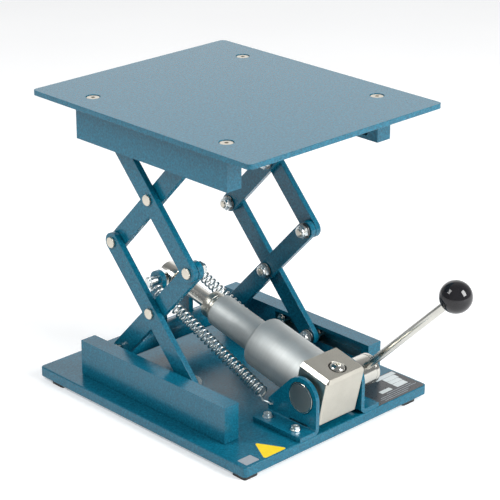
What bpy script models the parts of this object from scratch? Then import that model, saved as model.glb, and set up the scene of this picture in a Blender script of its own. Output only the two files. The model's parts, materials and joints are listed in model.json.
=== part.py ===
"""Hydraulic scissor lab jack, modelled as a linkage of separate pieces.

Lengths are in millimetres and become metres where a mesh is made. X runs across the jack, -Y is the side
with the pump lever, Z is up. The base plate's centre lies BASE_Y behind the origin, so that the origin is
under the middle of the whole object, lever included. Each moving group hangs on an empty on its joint's axis.
"""
import math

import bmesh
import bpy
from mathutils import Matrix, Vector

MM = 0.001
GAP = 0.3  # air left between two pieces that touch
SIDES = 24  # sides of a round piece; a multiple of six, so that a hexagon's corners fall on them
BOLT_SIDES = 12
LEFT, RIGHT = -1, 1
SIDE_NAMES = {LEFT: "left", RIGHT: "right"}

# Plates and feet
PLATE_X, PLATE_Y = 200.0, 237.0
BASE_T, TOP_T = 8.5, 4.0
FOOT_H, FOOT_HALF = 2.5, 7.0
FEET = {"front_left": (-92.0, -110.5), "front_right": (81.0, -110.5), "back_left": (-92.0, 98.5), "back_right": (81.0, 98.5)}
REST_HEIGHT = 244.4  # top of the platform as posed
TOP_SHIFT = -4.0  # the platform sits this far forward of the base
SCREW_X, SCREW_Y = 78.0, 72.5
SCREW_SHIFT = -4.0
SCREW_HEAD_R, SCREW_SHANK_R = 5.5, 3.0

# Guide rails: bars with a closed slot in the inner face
RAIL_X, RAIL_W, RAIL_H, RAIL_LEN = 71.0, 14.2, 30.0, 165.0
BASE_RAIL_Y, TOP_RAIL_Y = 0.7, -2.0
SLOT_DEPTH, SLOT_H = 10.2, 10.8
SLOT_EDGE = 8.5  # slot centre below the bar's free edge
SLOT_FRONT, SLOT_BACK = -74.0, 22.0

# Scissor arms
ARM_HALF = 63.5  # centre pivot to end pivot
ARM_W, ARM_T = 15.0, 5.0
OUTER_X, INNER_X = 63.0, 57.5  # inner faces of the two layers of arms
PIVOT_Y = 63.0  # fixed pivots, behind the base plate's centre
BOLT_R, HOLE_R = 3.0, 3.25
HEAD_R, HEAD_T = 4.4, 1.5
WASHER_R, WASHER_T = 6.2, 1.0
NUT_AF, NUT_T = 10.0, 5.0
BOLT_END = 1.2
ROLLER_R, ROLLER_T, ROLLER_X = 5.0, 7.0, 72.2

# Hydraulic unit. Along its axis u runs from the trunnion towards the rod's end, v is square to it and up.
TRUNNION_Y, TRUNNION_Z = -102.7, 37.0
YOKE_PIN_Y, YOKE_PIN_Z = 70.0, 76.7
BLOCK_X, BLOCK_FRONT, BLOCK_BACK, BLOCK_LOW, BLOCK_HIGH = 20.0, -17.5, 12.0, -17.5, 23.0
BLOCK_CHAMFER_X, BLOCK_CHAMFER_U, BLOCK_CHAMFER_V = 2.0, 1.2, 4.4
FILLER_U, FILLER_R, FILLER_POCKET_R = -7.0, 6.0, 6.9
TRUNNION_R, TRUNNION_STUB_R = 12.2, 6.0
RESERVOIR_R, RESERVOIR_BORE, RESERVOIR_END = 21.0, 18.5, 69.0
TUBE_R, TUBE_BORE, TUBE_END = 13.5, 9.5, 119.0
GLAND_R, GLAND_RIM_R, GLAND_END = 11.2, 12.0, 129.0
ROD_R, PISTON_R, PISTON_U, PISTON_L = 6.4, 9.2, 62.0, 12.0
NECK_R, NECK_U, NECK_L = 4.6, 165.2, 3.3
ROD_HEAD_R, ROD_HEAD_U, ROD_HEAD_END = 9.0, NECK_U + NECK_L, 183.5
SEAT_R, SEAT_DU, SEAT_DV = 6.2, -0.8, -0.65  # open seat for the yoke pin and its offset at rest

# Brackets
BRACKET_T, BRACKET_X, BRACKET_FLANGE = 3.5, 23.2, 20.0
BRACKET_R, BRACKET_BORE = 16.2, 12.6
BRACKET_BACK = -68.5
BRACKET_HEEL = 25.0  # height where the sloped back edge ends
BRACKET_BEND = 3.0
SLIT_FRONT, SLIT_BACK, SLIT_H = -110.5, -91.0, 1.2

# Yoke between the lower inner arms
EAR_X, EAR_T, EAR_R, EAR_LOW = 11.8, 4.8, 7.4, -4.0
CROSS_BAR_R, TAPPED_DEPTH = 9.0, 18.0
PIN_R, PIN_HOLE_R, PIN_HALF = 3.5, 3.6, 26.0

# Pump lever
HUB_X, HUB_END = 27.3, 48.5
LEVER_X, LEVER_ANGLE, LEVER_LEN = 38.0, 45.2, 129.0
LEVER_R, KNOB_R = 3.25, 12.3

# Return springs, as plain closed cylinders
SPRING_X, SPRING_R = 25.0, 5.0
SPRING_LOW_Y, SPRING_LOW_Z = -71.0, 22.0
SPRING_HOOK = 9.0

BASE_TOP = FOOT_H + BASE_T
AXLE_LOW = BASE_TOP + RAIL_H - SLOT_EDGE
AXLE_HIGH = REST_HEIGHT - TOP_T - RAIL_H + SLOT_EDGE
ARM_ANGLE = math.asin((AXLE_HIGH - AXLE_LOW) / (4.0 * ARM_HALF))
UNIT_ANGLE = math.atan2(YOKE_PIN_Z - TRUNNION_Z, YOKE_PIN_Y - TRUNNION_Y)
UNIT_REACH = math.hypot(YOKE_PIN_Z - TRUNNION_Z, YOKE_PIN_Y - TRUNNION_Y)
KNOB_FRONT = TRUNNION_Y - LEVER_LEN * math.cos(math.radians(LEVER_ANGLE)) - KNOB_R
BASE_Y = -0.5 * (KNOB_FRONT + 0.5 * PLATE_Y)

# Colour, metallic, roughness
FINISHES = {
    "blue_paint": ((0.045, 0.215, 0.31, 1.0), 0.3, 0.4),
    "nickel": ((0.60, 0.57, 0.48, 1.0), 1.0, 0.35),
    "aluminium": ((0.62, 0.64, 0.62, 1.0), 1.0, 0.4),
    "steel": ((0.55, 0.54, 0.50, 1.0), 1.0, 0.2),
    "zinc": ((0.62, 0.68, 0.68, 1.0), 1.0, 0.25),
    "black_plastic": ((0.012, 0.012, 0.014, 1.0), 0.0, 0.08),
    "rubber": ((0.02, 0.02, 0.02, 1.0), 0.0, 0.8),
}


def clear_scene():
    for obj in list(bpy.data.objects):
        bpy.data.objects.remove(obj, do_unlink=True)


def finish(name):
    """Returns the named material, made once."""
    if name in bpy.data.materials:
        return bpy.data.materials[name]
    colour, metallic, roughness = FINISHES[name]
    material = bpy.data.materials.new(name)
    material.use_nodes = True
    shader = material.node_tree.nodes["Principled BSDF"]
    shader.inputs["Base Color"].default_value = colour
    shader.inputs["Metallic"].default_value = metallic
    shader.inputs["Roughness"].default_value = roughness
    return material


def pivot(name, parent, x, y, z, turn=0.0):
    """An empty on a joint's axis; turn is its angle about X against its parent, in radians."""
    empty = bpy.data.objects.new(name, None)
    bpy.context.scene.collection.objects.link(empty)
    empty.parent = parent
    empty.location = Vector((x, y, z)) * MM
    empty.rotation_euler.x = turn
    return empty


def add(name, mesh, material, parent, at=(0.0, 0.0, 0.0), turn=(0.0, 0.0, 0.0)):
    """Links an object made of mesh under parent, at a place in millimetres."""
    obj = bpy.data.objects.new(name, mesh)
    bpy.context.scene.collection.objects.link(obj)
    if not mesh.materials:
        mesh.materials.append(finish(material))
    obj.parent = parent
    obj.location = Vector(at) * MM
    obj.rotation_euler = turn
    return obj


def to_mesh(bm, smooth=False):
    """Turns a bmesh in millimetres into a mesh in metres with its faces outwards."""
    bmesh.ops.recalc_face_normals(bm, faces=bm.faces)
    bmesh.ops.scale(bm, vec=(MM, MM, MM), verts=bm.verts)
    mesh = bpy.data.meshes.new("mesh")
    bm.to_mesh(mesh)
    bm.free()
    if smooth:
        mesh.shade_smooth()
        mesh.set_sharp_from_angle(angle=math.radians(35.0))
    return mesh


def cut(obj, cutter_mesh, at=(0.0, 0.0, 0.0), turn=(0.0, 0.0, 0.0)):
    """Subtracts a mesh, placed in the object's own axes, from the object."""
    cutter = bpy.data.objects.new(obj.name + "_cutter", cutter_mesh)
    bpy.context.scene.collection.objects.link(cutter)
    cutter.parent = obj
    cutter.location = Vector(at) * MM
    cutter.rotation_euler = turn
    cutter.hide_render = True
    cutter.display_type = "WIRE"
    modifier = obj.modifiers.new("cut", "BOOLEAN")
    modifier.operation = "DIFFERENCE"
    modifier.solver = "EXACT"
    modifier.object = cutter


def bevel(obj, width, segments=1, angle=40.0):
    modifier = obj.modifiers.new("bevel", "BEVEL")
    modifier.width = width * MM
    modifier.segments = segments
    modifier.limit_method = "ANGLE"
    modifier.angle_limit = math.radians(angle)


def loop_radius(radius, hexagon, angle):
    """Radius of a ring at an angle: a circle, or a hexagon whose flats lie at that radius."""
    if not hexagon:
        return radius
    return radius / math.cos((angle % math.radians(60.0)) - math.radians(30.0))


def turned(rings, closed=False, sides=SIDES, smooth=True):
    """A solid turned about X. A ring is (x, radius) or (x, flat radius, True) for a hexagon.

    A closed profile is a tube, whose last ring joins its first."""
    bm = bmesh.new()
    loops = []
    for x, radius, *hexagon in rings:
        loop = []
        for i in range(sides):
            angle = 2.0 * math.pi * i / sides
            r = loop_radius(radius, bool(hexagon), angle)
            loop.append(bm.verts.new((x, r * math.cos(angle), r * math.sin(angle))))
        loops.append(loop)
    pairs = list(zip(loops, loops[1:]))
    if closed:
        pairs.append((loops[-1], loops[0]))
    for a, b in pairs:
        for i in range(sides):
            j = (i + 1) % sides
            bm.faces.new((a[i], a[j], b[j], b[i]))
    if not closed:
        bm.faces.new(loops[0])
        bm.faces.new(loops[-1])
    return to_mesh(bm, smooth)


def circle(y, z, radius, sides=SIDES):
    """Points of a hole in an outline."""
    steps = [2.0 * math.pi * i / sides for i in range(sides)]
    return [(y + radius * math.cos(a), z + radius * math.sin(a)) for a in steps]


def arc(y, z, radius, start, end, steps):
    """Points along an arc, its angles in degrees from the first axis towards the second."""
    angles = [math.radians(start + (end - start) * i / steps) for i in range(steps + 1)]
    return [(y + radius * math.cos(a), z + radius * math.sin(a)) for a in angles]


def plate(outline, x0, x1, holes=()):
    """An outline in Y and Z with holes, extruded from x0 to x1."""
    bm = bmesh.new()
    for points in (outline, *holes):
        ring = [bm.verts.new((x0, y, z)) for y, z in points]
        for a, b in zip(ring, ring[1:] + ring[:1]):
            bm.edges.new((a, b))
    bmesh.ops.triangle_fill(bm, use_beauty=True, use_dissolve=False, edges=bm.edges[:])
    grown = bmesh.ops.extrude_face_region(bm, geom=bm.faces[:])
    moved = [item for item in grown["geom"] if isinstance(item, bmesh.types.BMVert)]
    bmesh.ops.translate(bm, vec=(x1 - x0, 0.0, 0.0), verts=moved)
    return to_mesh(bm)


def upright(mesh):
    """Turns a mesh that was extruded along X so that it is extruded along Z: (x, y, z) to (y, z, x)."""
    mesh.transform(Matrix(((0, 1, 0, 0), (0, 0, 1, 0), (1, 0, 0, 0), (0, 0, 0, 1))))
    return mesh


def rounded_rectangle(half_a, half_b, radius, steps=3):
    points = []
    for sa, sb, start in ((1, 1, 0), (-1, 1, 90), (-1, -1, 180), (1, -1, 270)):
        points += arc(sa * (half_a - radius), sb * (half_b - radius), radius, start, start + 90, steps)
    return points


def slab(half_a, half_b, radius, z0, z1, holes=()):
    """A plate lying flat, with rounded corners and holes in it."""
    return upright(plate(rounded_rectangle(half_a, half_b, radius), z0, z1, holes))


def box(x0, x1, y0, y1, z0, z1):
    return plate([(y0, z0), (y1, z0), (y1, z1), (y0, z1)], x0, x1)


def span(side, x0, x1):
    """The two ends of a stretch of X on the given side, in rising order."""
    return sorted((side * x0, side * x1))


def make_base(root):
    mesh = slab(PLATE_X / 2, PLATE_Y / 2, 3.0, FOOT_H, BASE_TOP)
    bevel(add("base_plate", mesh, "blue_paint", root), 0.6)
    foot = slab(FOOT_HALF, FOOT_HALF, 2.0, 0.0, FOOT_H - GAP)
    for corner, (x, y) in FEET.items():
        add(f"foot_{corner}", foot, "rubber", root, (x, y, 0.0))


def make_rail(name, side, parent, free_z, down, middle_y, pivot_y):
    """A guide bar whose free edge is at free_z; down is 1 if the bar stands under that edge."""
    x0, x1 = span(side, RAIL_X, RAIL_X + RAIL_W)
    z0, z1 = sorted((free_z, free_z - down * (RAIL_H - GAP)))
    mesh = box(x0, x1, middle_y - RAIL_LEN / 2, middle_y + RAIL_LEN / 2, z0, z1)
    rail = add(name, mesh, "blue_paint", parent)
    bevel(rail, 0.8)
    slot_z = free_z - down * SLOT_EDGE
    s0, s1 = span(side, RAIL_X - 2.0, RAIL_X + SLOT_DEPTH)
    low, high = slot_z - SLOT_H / 2, slot_z + SLOT_H / 2
    cut(rail, box(s0, s1, pivot_y - PIVOT_Y + SLOT_FRONT, pivot_y - PIVOT_Y + SLOT_BACK, low, high))
    cut(rail, turned([(s0, HOLE_R), (s1, HOLE_R)]), (0.0, pivot_y, slot_z))


def arm_mesh():
    """A flat bar with round ends and three pivot holes, centred on the middle one, along Y."""
    r = ARM_W / 2
    outline = arc(ARM_HALF, 0.0, r, -90, 90, 8) + arc(-ARM_HALF, 0.0, r, 90, 270, 8)
    holes = [circle(y, 0.0, HOLE_R, BOLT_SIDES) for y in (-ARM_HALF, 0.0, ARM_HALF)]
    return plate(outline, -ARM_T / 2, ARM_T / 2, holes)


def make_arms(name, parent, layer_x, middle):
    """A left and a right arm of one layer; middle is the arm's centre along the parent's Y."""
    for side in (LEFT, RIGHT):
        arm = add(f"{name}_{SIDE_NAMES[side]}", arm_mesh(), "blue_paint", parent)
        arm.location = Vector((side * (layer_x + ARM_T / 2), middle, 0.0)) * MM


def bolt_mesh(sections):
    """A bolt with its nut and washers: sections are (x0, x1, radius) or (x0, x1, flats, True), inner end first."""
    rings = []
    for x0, x1, radius, *hexagon in sections:
        rings += [(x0, radius, *hexagon), (x1, radius, *hexagon)]
    return turned(rings, sides=BOLT_SIDES, smooth=False)


def nut_sections(face_x):
    """Bolt end, hexagon nut and washer that lie against a face whose inner side is at face_x."""
    washer = face_x - GAP - WASHER_T
    nut = washer - NUT_T
    return [
        (nut - BOLT_END, nut, BOLT_R),
        (nut, washer, NUT_AF / 2, True),
        (washer, face_x - GAP, WASHER_R),
    ]


def add_pair(name, mesh, parent, y=0.0, z=0.0, material="zinc"):
    """The same turned mesh on the right, and turned half round about Z on the left."""
    add(f"{name}_right", mesh, material, parent, (0.0, y, z))
    add(f"{name}_left", mesh, material, parent, (0.0, y, z), (0.0, 0.0, math.pi))


def make_scissor_bolt(name, parent, y):
    """A pivot bolt through both layers of arms, its flat head outside and its nut inside."""
    outer = OUTER_X + ARM_T + GAP
    head = [(INNER_X - GAP, outer, BOLT_R), (outer, outer + HEAD_T, HEAD_R)]
    add_pair(name, bolt_mesh(nut_sections(INNER_X) + head), parent, y)


def make_rail_bolt(name, parent, y, z, face_x, tapped=False):
    """A fixed pivot: arm, spacer and a shank that ends in the rail. Its inner end has a nut, or turns in the yoke's bar."""
    spacer = face_x + ARM_T + GAP
    rail = [
        (face_x - GAP, spacer, BOLT_R),
        (spacer, RAIL_X - GAP, 4.8),
        (RAIL_X - GAP, RAIL_X + SLOT_DEPTH - 1.0, BOLT_R),
    ]
    inner = [(face_x - TAPPED_DEPTH + 2.0, face_x - GAP, BOLT_R)] if tapped else nut_sections(face_x)
    add_pair(name, bolt_mesh(inner + rail), parent, y, z)


def make_roller(name, parent, y, face_x, pivot_parents):
    """An axle through an arm's end, and the roller that turns on it inside the rail's slot."""
    spacer = face_x + ARM_T + GAP
    roller_end = ROLLER_X + ROLLER_T
    axle = [
        (face_x - GAP, spacer, BOLT_R),
        (spacer, ROLLER_X - GAP, 4.2),
        (ROLLER_X - GAP, roller_end + GAP, BOLT_R),
        (roller_end + GAP, roller_end + 1.3, 4.2),
    ]
    add_pair(f"{name}_axle", bolt_mesh(nut_sections(face_x) + axle), parent, y)
    rim = ROLLER_R - 0.6
    rings = [
        (ROLLER_X, HOLE_R),
        (ROLLER_X, rim),
        (ROLLER_X + 0.6, ROLLER_R),
        (roller_end - 0.6, ROLLER_R),
        (roller_end, rim),
        (roller_end, HOLE_R),
    ]
    roller = turned(rings, closed=True, sides=16)
    for side, spin in ((RIGHT, 0.0), (LEFT, math.pi)):
        node = f"{name}_{SIDE_NAMES[side]}"
        add(node, roller, "steel", pivot_parents(node), turn=(0.0, 0.0, spin))


def make_scissor(root):
    """The four sets of arms, each hung on the one it turns on. Returns the lower inner arms and the platform."""
    lift = math.pi - ARM_ANGLE
    fold = 2.0 * ARM_ANGLE - math.pi
    inner = pivot("lower_inner", root, 0.0, PIVOT_Y, AXLE_LOW, lift)
    outer = pivot("lower_outer", inner, 0.0, ARM_HALF, 0.0, fold)
    upper_outer = pivot("upper_outer", inner, 0.0, 2.0 * ARM_HALF, 0.0, fold)
    upper_inner = pivot("upper_inner", outer, 0.0, ARM_HALF, 0.0, -fold)
    platform = pivot("platform", upper_outer, 0.0, 2.0 * ARM_HALF, 0.0, -ARM_ANGLE)

    make_arms("lower_inner_arm", inner, INNER_X, ARM_HALF)
    make_arms("lower_outer_arm", outer, OUTER_X, 0.0)
    make_arms("upper_outer_arm", upper_outer, OUTER_X, ARM_HALF)
    make_arms("upper_inner_arm", upper_inner, INNER_X, ARM_HALF)

    make_scissor_bolt("lower_centre_bolt", outer, 0.0)
    make_scissor_bolt("back_knuckle_bolt", outer, ARM_HALF)
    make_scissor_bolt("front_knuckle_bolt", upper_outer, 0.0)
    make_scissor_bolt("upper_centre_bolt", upper_outer, ARM_HALF)

    def under(parent, y):
        return lambda name: pivot(name + "_axis", parent, 0.0, y, 0.0)

    make_roller("base_roller", outer, -ARM_HALF, OUTER_X, under(outer, -ARM_HALF))
    top_end = 2.0 * ARM_HALF
    make_roller("platform_roller", upper_inner, top_end, INNER_X, under(upper_inner, top_end))
    return inner, platform


def make_platform(platform):
    """The platform's empty is on the fixed upper pivot, with axes parallel to the base's."""
    to_y = -PIVOT_Y
    under = RAIL_H - SLOT_EDGE
    holes = []
    for sx in (-1, 1):
        for sy in (-1, 1):
            holes.append(circle(sx * SCREW_X, sy * SCREW_Y + SCREW_SHIFT - TOP_SHIFT, SCREW_HEAD_R + 0.3))
    mesh = slab(PLATE_X / 2, PLATE_Y / 2, 4.0, under, under + TOP_T, holes)
    add("top_plate", mesh, "blue_paint", platform, (0.0, to_y + TOP_SHIFT, 0.0))
    screw = upright(turned([
        (under - RAIL_H / 2, SCREW_SHANK_R),
        (under + 0.8, SCREW_SHANK_R),
        (under + 0.8, SCREW_HEAD_R),
        (under + TOP_T - 0.3, SCREW_HEAD_R),
    ]))
    for side in (LEFT, RIGHT):
        rail_name = f"platform_rail_{SIDE_NAMES[side]}"
        make_rail(rail_name, side, platform, -SLOT_EDGE, -1, to_y + TOP_RAIL_Y, 0.0)
        rail = bpy.data.objects[rail_name]
        for end, sign in (("front", -1), ("back", 1)):
            y = to_y + sign * SCREW_Y + SCREW_SHIFT
            name = f"platform_screw_{end}_{SIDE_NAMES[side]}"
            add(name, screw, "steel", platform, (side * SCREW_X, y, 0.0))
            hole = upright(turned([(under - RAIL_H / 2 - 2.0, HOLE_R), (under + 2.0, HOLE_R)]))
            cut(rail, hole, (side * SCREW_X, y, 0.0))


def bracket_side(x_wall):
    """The upright wall: a round top about the trunnion, a sloped back edge and a square heel."""
    y, z = TRUNNION_Y, TRUNNION_Z
    low = BASE_TOP + GAP
    heel = (BRACKET_BACK, BRACKET_HEEL)
    reach = math.hypot(heel[0] - y, heel[1] - z)
    slope = math.degrees(math.atan2(heel[1] - z, heel[0] - y) + math.acos(BRACKET_R / reach))
    outline = [(y - BRACKET_R, low), (BRACKET_BACK, low), heel]
    outline += arc(y, z, BRACKET_R, slope, 180.0, 9)
    return plate(outline, x_wall, x_wall + BRACKET_T, [circle(y, z, BRACKET_BORE)])


def make_bracket(side, root):
    """An angle bracket bent outwards from its wall, with a slit along the bend under the trunnion."""
    x0 = span(side, BRACKET_X, BRACKET_X + BRACKET_T)[0]
    bracket = add(f"bracket_{SIDE_NAMES[side]}", bracket_side(x0), "blue_paint", root)
    f0, f1 = span(side, BRACKET_X + 0.2, BRACKET_X + BRACKET_FLANGE)
    low = BASE_TOP + GAP
    flange = box(f0, f1, TRUNNION_Y - BRACKET_R, BRACKET_BACK, low, low + BRACKET_T)
    join = bracket.modifiers.new("flange", "BOOLEAN")
    join.operation = "UNION"
    join.solver = "EXACT"
    guide = bpy.data.objects.new(bracket.name + "_flange", flange)
    bpy.context.scene.collection.objects.link(guide)
    guide.parent = bracket
    guide.hide_render = True
    guide.display_type = "WIRE"
    join.object = guide
    slit = low + BRACKET_T
    s0, s1 = span(side, BRACKET_X - 1.0, BRACKET_X + BRACKET_T + 0.6)
    cut(bracket, box(s0, s1, SLIT_FRONT, SLIT_BACK, slit, slit + SLIT_H))
    bevel(bracket, 0.5)


def make_block(unit):
    """The pump block: chamfered round its top face, with bores for the trunnion and the lever's shaft."""
    bm = bmesh.new()
    low = [(x, u, BLOCK_LOW) for x in (-BLOCK_X, BLOCK_X) for u in (BLOCK_FRONT, BLOCK_BACK)]
    edge = [(x, u, BLOCK_HIGH - BLOCK_CHAMFER_V) for x, u, _ in low]
    inset_x = BLOCK_X - BLOCK_CHAMFER_X
    high = [(x, u, BLOCK_HIGH) for x in (-inset_x, inset_x) for u in (BLOCK_FRONT + BLOCK_CHAMFER_U, BLOCK_BACK)]
    rows = [[bm.verts.new(p) for p in (row[0], row[1], row[3], row[2])] for row in (low, edge, high)]
    for a, b in zip(rows, rows[1:]):
        for i in range(4):
            j = (i + 1) % 4
            bm.faces.new((a[i], a[j], b[j], b[i]))
    bm.faces.new(rows[0])
    bm.faces.new(rows[-1])
    block = add("pump_block", to_mesh(bm), "nickel", unit)
    bevel(block, 0.4)
    bore = turned([(-BLOCK_X - 1.0, TRUNNION_STUB_R + 0.3), (-BLOCK_X + 9.0, TRUNNION_STUB_R + 0.3)])
    cut(block, bore)
    cut(block, bore, turn=(0.0, 0.0, math.pi))
    pocket = upright(turned([(BLOCK_HIGH - 1.2, FILLER_POCKET_R), (BLOCK_HIGH + 1.0, FILLER_POCKET_R)]))
    cut(block, pocket, (0.0, FILLER_U, 0.0))
    screw = upright(turned([
        (BLOCK_HIGH - 0.9, FILLER_R),
        (BLOCK_HIGH + 0.6, FILLER_R),
        (BLOCK_HIGH + 2.0, FILLER_R * 0.8),
        (BLOCK_HIGH + 2.6, FILLER_R * 0.45),
    ]))
    add("filler_screw", screw, "steel", unit, (0.0, FILLER_U, 0.0))


def along_unit(mesh):
    """Turns a mesh turned about X so that its axis runs along the unit's own Y."""
    mesh.transform(Matrix.Rotation(math.radians(90.0), 4, "Z"))
    return mesh


def make_cylinder(unit):
    """The reservoir, the cylinder tube inside it and the gland that closes the tube."""
    start = BLOCK_BACK + GAP
    reservoir = [
        (start, RESERVOIR_BORE),
        (start, RESERVOIR_R),
        (RESERVOIR_END - 1.5, RESERVOIR_R),
        (RESERVOIR_END, RESERVOIR_R - 1.5),
        (RESERVOIR_END, TUBE_R + GAP),
        (RESERVOIR_END - 4.0, TUBE_R + GAP),
        (RESERVOIR_END - 4.0, RESERVOIR_BORE),
    ]
    add("reservoir_tube", along_unit(turned(reservoir, closed=True, sides=30)), "aluminium", unit)
    tube = [(start, TUBE_BORE), (start, TUBE_R), (TUBE_END - 1.0, TUBE_R), (TUBE_END, TUBE_R - 1.0),
            (TUBE_END, TUBE_BORE)]
    add("cylinder_tube", along_unit(turned(tube, closed=True, sides=30)), "aluminium", unit)
    rim = TUBE_END + GAP
    gland = [
        (rim - 10.0, ROD_R + GAP),
        (rim - 10.0, TUBE_BORE - GAP),
        (rim, TUBE_BORE - GAP),
        (rim, GLAND_RIM_R),
        (rim + 1.4, GLAND_RIM_R),
        (rim + 1.8, GLAND_R),
        (GLAND_END - 0.8, GLAND_R),
        (GLAND_END, GLAND_R - 0.8),
        (GLAND_END, ROD_R + GAP),
    ]
    add("gland", along_unit(turned(gland, closed=True, sides=30)), "nickel", unit)


def make_rod(rod):
    """The piston rod. Its empty is on the yoke pin's seat, so u is measured back from there."""
    rings = [
        (PISTON_U, PISTON_R),
        (PISTON_U + PISTON_L, PISTON_R),
        (PISTON_U + PISTON_L, ROD_R),
        (NECK_U, ROD_R),
        (NECK_U, NECK_R),
        (NECK_U + NECK_L, NECK_R),
        (ROD_HEAD_U, ROD_HEAD_R - 0.8),
        (ROD_HEAD_U + 0.8, ROD_HEAD_R),
        (ROD_HEAD_END - 0.8, ROD_HEAD_R),
        (ROD_HEAD_END, ROD_HEAD_R - 0.8),
    ]
    mesh = along_unit(turned([(u - UNIT_REACH, r) for u, r in rings], sides=30))
    obj = add("piston_rod", mesh, "steel", rod)
    seat = arc(SEAT_DU, SEAT_DV, SEAT_R, 90, 270, 10)
    seat += [(20.0, SEAT_DV - SEAT_R), (20.0, SEAT_DV + SEAT_R)]
    cut(obj, plate(seat, -12.0, 12.0))


def make_trunnion(unit):
    """The left trunnion pin, whose face shows in the bracket."""
    face = BRACKET_X + BRACKET_T + 0.7
    rings = [
        (-face, TRUNNION_R - 0.5),
        (-face + 0.5, TRUNNION_R),
        (-BLOCK_X - GAP, TRUNNION_R),
        (-BLOCK_X - GAP, TRUNNION_STUB_R),
        (-BLOCK_X + 8.5, TRUNNION_STUB_R),
    ]
    add("trunnion_pin", turned(rings, sides=30), "nickel", unit)


def make_lever(lever):
    """The pump lever: a hub that is the right trunnion, a straight rod and a ball knob."""
    rings = [
        (BLOCK_X - 8.5, TRUNNION_STUB_R),
        (BLOCK_X + GAP, TRUNNION_STUB_R),
        (BLOCK_X + GAP, TRUNNION_R),
        (HUB_END - 0.6, TRUNNION_R),
        (HUB_END, TRUNNION_R - 0.6),
    ]
    hub = add("lever_hub", turned(rings, sides=30), "steel", lever)
    tilt = math.radians(180.0 - LEVER_ANGLE)
    cut(hub, along_unit(turned([(5.5, LEVER_R + 0.25), (20.0, LEVER_R + 0.25)])), (LEVER_X, 0, 0), (tilt, 0, 0))
    rod = along_unit(turned([(6.0, LEVER_R), (LEVER_LEN - 5.0, LEVER_R)]))
    add("lever_rod", rod, "steel", lever, (LEVER_X, 0.0, 0.0), (tilt, 0.0, 0.0))
    steps = 12
    first = math.degrees(math.asin(5.0 / KNOB_R))
    angles = [math.radians(180.0 - first - (180.0 - 2.0 * first) * i / steps) for i in range(steps + 1)]
    ball = [(KNOB_R * math.cos(a), KNOB_R * math.sin(a)) for a in angles]
    ball[-1] = (KNOB_R, 0.8)
    place = (LEVER_X, LEVER_LEN * math.cos(tilt), LEVER_LEN * math.sin(tilt))
    knob = add("ball_knob", along_unit(turned(ball)), "black_plastic", lever, place, (tilt, 0.0, 0.0))
    cut(knob, along_unit(turned([(-KNOB_R - 2.0, LEVER_R + 0.25), (-4.0, LEVER_R + 0.25)])))


def make_yoke(inner):
    """A round bar between the arms with two ears welded to it, and the pin that the rod pushes."""
    level = pivot("yoke_frame", inner, 0.0, 0.0, 0.0, ARM_ANGLE - math.pi)
    pin_y, pin_z = YOKE_PIN_Y - PIVOT_Y, YOKE_PIN_Z - AXLE_LOW
    end, bore = INNER_X - GAP, INNER_X - TAPPED_DEPTH
    bar = [(-bore, HOLE_R), (-end, HOLE_R), (-end, CROSS_BAR_R), (end, CROSS_BAR_R), (end, HOLE_R), (bore, HOLE_R)]
    yoke = add("yoke", turned(bar), "blue_paint", level)
    ear = arc(pin_y, pin_z, EAR_R, 0, 180, 12) + [(pin_y - EAR_R, EAR_LOW), (pin_y + EAR_R, EAR_LOW)]
    hole = circle(pin_y, pin_z, PIN_HOLE_R)
    for side in (LEFT, RIGHT):
        e0, e1 = span(side, EAR_X, EAR_X + EAR_T)
        guide = add(f"yoke_ear_{SIDE_NAMES[side]}", plate(ear, e0, e1, [hole]), "blue_paint", level)
        guide.hide_render = True
        guide.display_type = "WIRE"
        join = yoke.modifiers.new("ear", "BOOLEAN")
        join.operation = "UNION"
        join.solver = "EXACT"
        join.object = guide
    half = PIN_HALF
    rings = [(-half, PIN_R - 0.5), (-half + 0.5, PIN_R), (half - 0.5, PIN_R), (half, PIN_R - 0.5)]
    add("yoke_pin", turned(rings), "zinc", level, (0.0, pin_y, pin_z))


def make_springs(unit):
    """Plain cylinders that hold each return spring's coils, between its two hooks."""
    low = Vector((SPRING_LOW_Y - TRUNNION_Y, SPRING_LOW_Z - TRUNNION_Z))
    high = Vector((YOKE_PIN_Y - TRUNNION_Y, YOKE_PIN_Z - TRUNNION_Z))
    length = (high - low).length
    angle = math.atan2(high.y - low.y, high.x - low.x)
    coil = along_unit(turned([(SPRING_HOOK, SPRING_R), (length - SPRING_HOOK, SPRING_R)]))
    level = pivot("spring_frame", unit, 0.0, 0.0, 0.0, -UNIT_ANGLE)
    for side in (LEFT, RIGHT):
        place = (side * SPRING_X, low.x, low.y)
        add(f"return_spring_{SIDE_NAMES[side]}", coil, "zinc", level, place, (angle, 0.0, 0.0))


def make_travel_stops(root):
    """Short pins in the base rails' slots that end the rollers' travel."""
    stop = turned([(RAIL_X + 0.5, 4.4), (RAIL_X + SLOT_DEPTH - GAP, 4.4)])
    add_pair("travel_stop", stop, root, 16.0, AXLE_LOW, "steel")


def main():
    clear_scene()
    root = pivot("lab_jack", None, 0.0, BASE_Y, 0.0)
    make_base(root)
    for side in (LEFT, RIGHT):
        name = f"base_rail_{SIDE_NAMES[side]}"
        make_rail(name, side, root, BASE_TOP + RAIL_H, 1, BASE_RAIL_Y, PIVOT_Y)
        make_bracket(side, root)
    make_travel_stops(root)
    make_rail_bolt("base_pivot_bolt", root, PIVOT_Y, AXLE_LOW, INNER_X, True)
    inner, platform = make_scissor(root)
    make_platform(platform)
    make_rail_bolt("platform_pivot_bolt", platform, 0.0, 0.0, OUTER_X)
    make_yoke(inner)
    unit = pivot("cylinder", root, 0.0, TRUNNION_Y, TRUNNION_Z, UNIT_ANGLE)
    make_block(unit)
    make_cylinder(unit)
    make_trunnion(unit)
    make_springs(unit)
    make_rod(pivot("rod", unit, 0.0, UNIT_REACH, 0.0))
    make_lever(pivot("lever", unit, 0.0, 0.0, 0.0, -UNIT_ANGLE))


main()
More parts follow.
